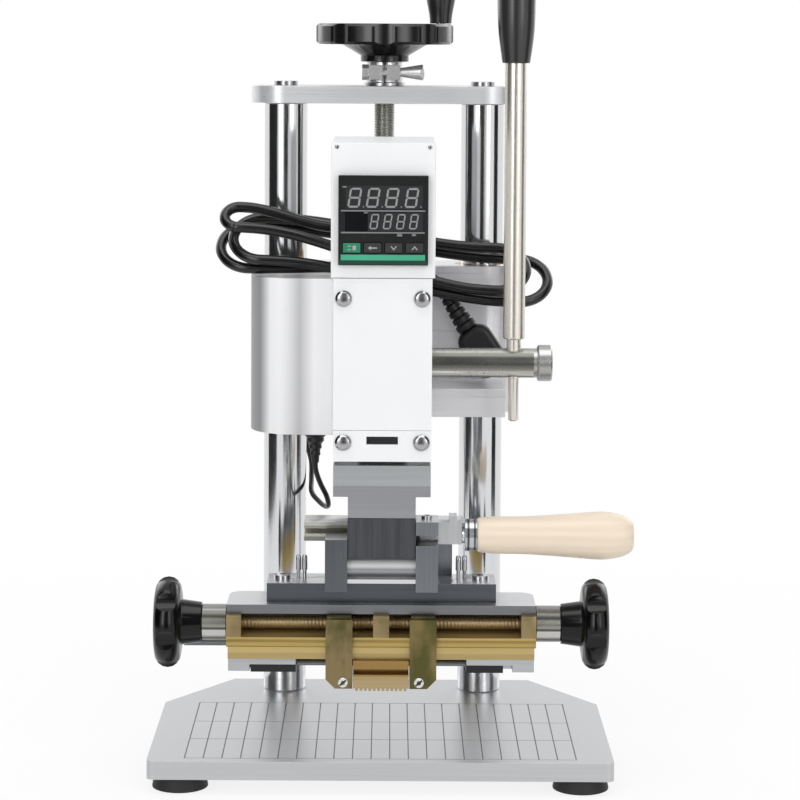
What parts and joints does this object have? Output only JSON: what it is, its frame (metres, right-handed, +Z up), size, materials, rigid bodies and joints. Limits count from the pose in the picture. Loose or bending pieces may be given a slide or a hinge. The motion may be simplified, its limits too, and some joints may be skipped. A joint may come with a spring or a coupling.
{
  "type": "hot foil stamping machine",
  "caption": "Bench hot foil stamping press: twin columns on a gridded base, screw-raised heated head with digital controller, side pull lever and wood-handled type carrier with side knobs.",
  "frame": {"origin": "centre of the base plate's top face, the work face that the item lies on", "axes": "+Z up, along the columns; +X to the right seen from the front, towards the lever; -Y is the front, where the controller faces"},
  "size_m": [0.262, 0.203, 0.475],
  "materials": {
    "satin_aluminium": "satin brushed",
    "black_rubber": "matt",
    "screw_steel": "bright turned",
    "chrome": "polished",
    "bronze": "turned",
    "black_bakelite": "gloss",
    "white_paint": "satin powder coat",
    "black_plastic": "fine texture",
    "display_black": "clear gloss over black",
    "green_key": "satin",
    "grey_key": "satin",
    "black_cord": "satin PVC",
    "dark_steel": "ground",
    "beech": "clear lacquer",
    "brass": "milled",
    "dull_brass": "dull milled"
  },
  "bodies": {
    "frame": {"base_plate": "satin_aluminium", "rubber_feet": "black_rubber", "frame_screws": "screw_steel", "columns": "chrome", "top_plate": "satin_aluminium", "screw_bush": "screw_steel"},
    "handwheel": {"handwheel": "black_bakelite", "lift_screw": "screw_steel", "crank_pin": "screw_steel", "lock_collar": "screw_steel"},
    "crank": {"crank_grip": "black_bakelite"},
    "lock": {"lock_screw": "screw_steel"},
    "carriage": {"carriage_block": "satin_aluminium", "bronze_bushes": "bronze", "lift_nut": "bronze", "left_cover": "white_paint", "ram_guide": "satin_aluminium", "head_case": "white_paint", "front_cover": "white_paint", "machine_screws": "screw_steel", "controller_body": "black_plastic", "display_window": "display_black", "power_relay": "black_plastic", "strain_relief": "black_plastic", "service_lead": "black_cord", "mains_coil": "black_cord", "mains_tail": "black_cord", "mains_plug": "black_plastic", "return_springs": "screw_steel"},
    "set_key": {"key_set": "green_key"},
    "shift_key": {"key_shift": "grey_key"},
    "down_key": {"key_down": "grey_key"},
    "up_key": {"key_up": "grey_key"},
    "lever": {"lever_shaft": "dark_steel", "shaft_pinion": "dark_steel", "lever_rod": "screw_steel", "lever_grip": "black_bakelite"},
    "ram": {"ram_bar": "dark_steel", "heater_block": "satin_aluminium", "heater_cartridges": "screw_steel", "carrier_rail": "dark_steel"},
    "carrier": {"die_block": "dark_steel", "uprights": "dark_steel", "polished_rods": "chrome", "handle_clamp": "screw_steel", "handle_rod": "chrome", "wooden_handle": "beech", "bridge_plate": "dark_steel", "slide_plate": "dark_steel", "slot_frame": "brass", "lower_plate": "screw_steel", "bottom_strip": "dark_steel", "type_holder": "brass", "carrier_screws": "screw_steel"},
    "left_jaw": {"jaw_left": "dull_brass"},
    "right_jaw": {"jaw_right": "dull_brass"},
    "left_knob": {"knob_left": "black_bakelite", "knob_shaft_left": "screw_steel"},
    "right_knob": {"knob_right": "black_bakelite", "knob_shaft_right": "screw_steel"}
  },
  "joints": [
    {"name": "handwheel_turn", "type": "hinge", "parent": "frame", "child": "handwheel", "pos_m": [0, 0.072, 0.38], "axis": [0, 0, 1], "range_deg": [-5412, 252]},
    {"name": "carriage_lift", "type": "slide", "parent": "frame", "child": "carriage", "axis": [0, 0, 1], "range_m": [-0.002, 0.045]},
    {"name": "crank_spin", "type": "hinge", "parent": "handwheel", "child": "crank", "pos_m": [0.0326, 0.072, 0.42], "axis": [0, 0, 1], "continuous": true},
    {"name": "lock_turn", "type": "hinge", "parent": "handwheel", "child": "lock", "pos_m": [0, 0.0585, 0.36505], "axis": [1, 0, 0], "range_deg": [0, 180]},
    {"name": "lever_pull", "type": "hinge", "parent": "carriage", "child": "lever", "pos_m": [0.073, -0.01, 0.2046], "axis": [1, 0, 0], "range_deg": [0, 105]},
    {"name": "ram_press", "type": "slide", "parent": "carriage", "child": "ram", "axis": [0, 0, -1], "range_m": [0, 0.0303], "stiffness_N_per_m": 1500, "springref_m": -0.035, "deforming": ["return_springs"]},
    {"name": "carrier_shift", "type": "slide", "parent": "ram", "child": "carrier", "axis": [1, 0, 0], "range_m": [0, 0.045]},
    {"name": "left_knob_turn", "type": "hinge", "parent": "carrier", "child": "left_knob", "pos_m": [-0.11, -0.054, 0.0672], "axis": [1, 0, 0], "range_deg": [0, 2522]},
    {"name": "left_jaw_slide", "type": "slide", "parent": "carrier", "child": "left_jaw", "axis": [-1, 0, 0], "range_m": [0, 0.014]},
    {"name": "right_knob_turn", "type": "hinge", "parent": "carrier", "child": "right_knob", "pos_m": [0.11, -0.054, 0.0672], "axis": [1, 0, 0], "range_deg": [0, 2522]},
    {"name": "right_jaw_slide", "type": "slide", "parent": "carrier", "child": "right_jaw", "axis": [1, 0, 0], "range_m": [0, 0.014]},
    {"name": "set_key_press", "type": "slide", "parent": "carriage", "child": "set_key", "axis": [0, 1, 0], "range_m": [0, 0.0005], "stiffness_N_per_m": 400, "springref_m": -0.001},
    {"name": "shift_key_press", "type": "slide", "parent": "carriage", "child": "shift_key", "axis": [0, 1, 0], "range_m": [0, 0.0005], "stiffness_N_per_m": 400, "springref_m": -0.001},
    {"name": "down_key_press", "type": "slide", "parent": "carriage", "child": "down_key", "axis": [0, 1, 0], "range_m": [0, 0.0005], "stiffness_N_per_m": 400, "springref_m": -0.001},
    {"name": "up_key_press", "type": "slide", "parent": "carriage", "child": "up_key", "axis": [0, 1, 0], "range_m": [0, 0.0005], "stiffness_N_per_m": 400, "springref_m": -0.001}
  ],
  "couplings": [
    {"joint": "handwheel_turn", "follows": "carriage_lift", "rad_per_m": -2094.4},
    {"joint": "ram_press", "follows": "lever_pull", "m_per_rad": 0.0165},
    {"joint": "left_knob_turn", "follows": "left_jaw_slide", "rad_per_m": 3141.6},
    {"joint": "right_knob_turn", "follows": "right_jaw_slide", "rad_per_m": 3141.6}
  ]
}
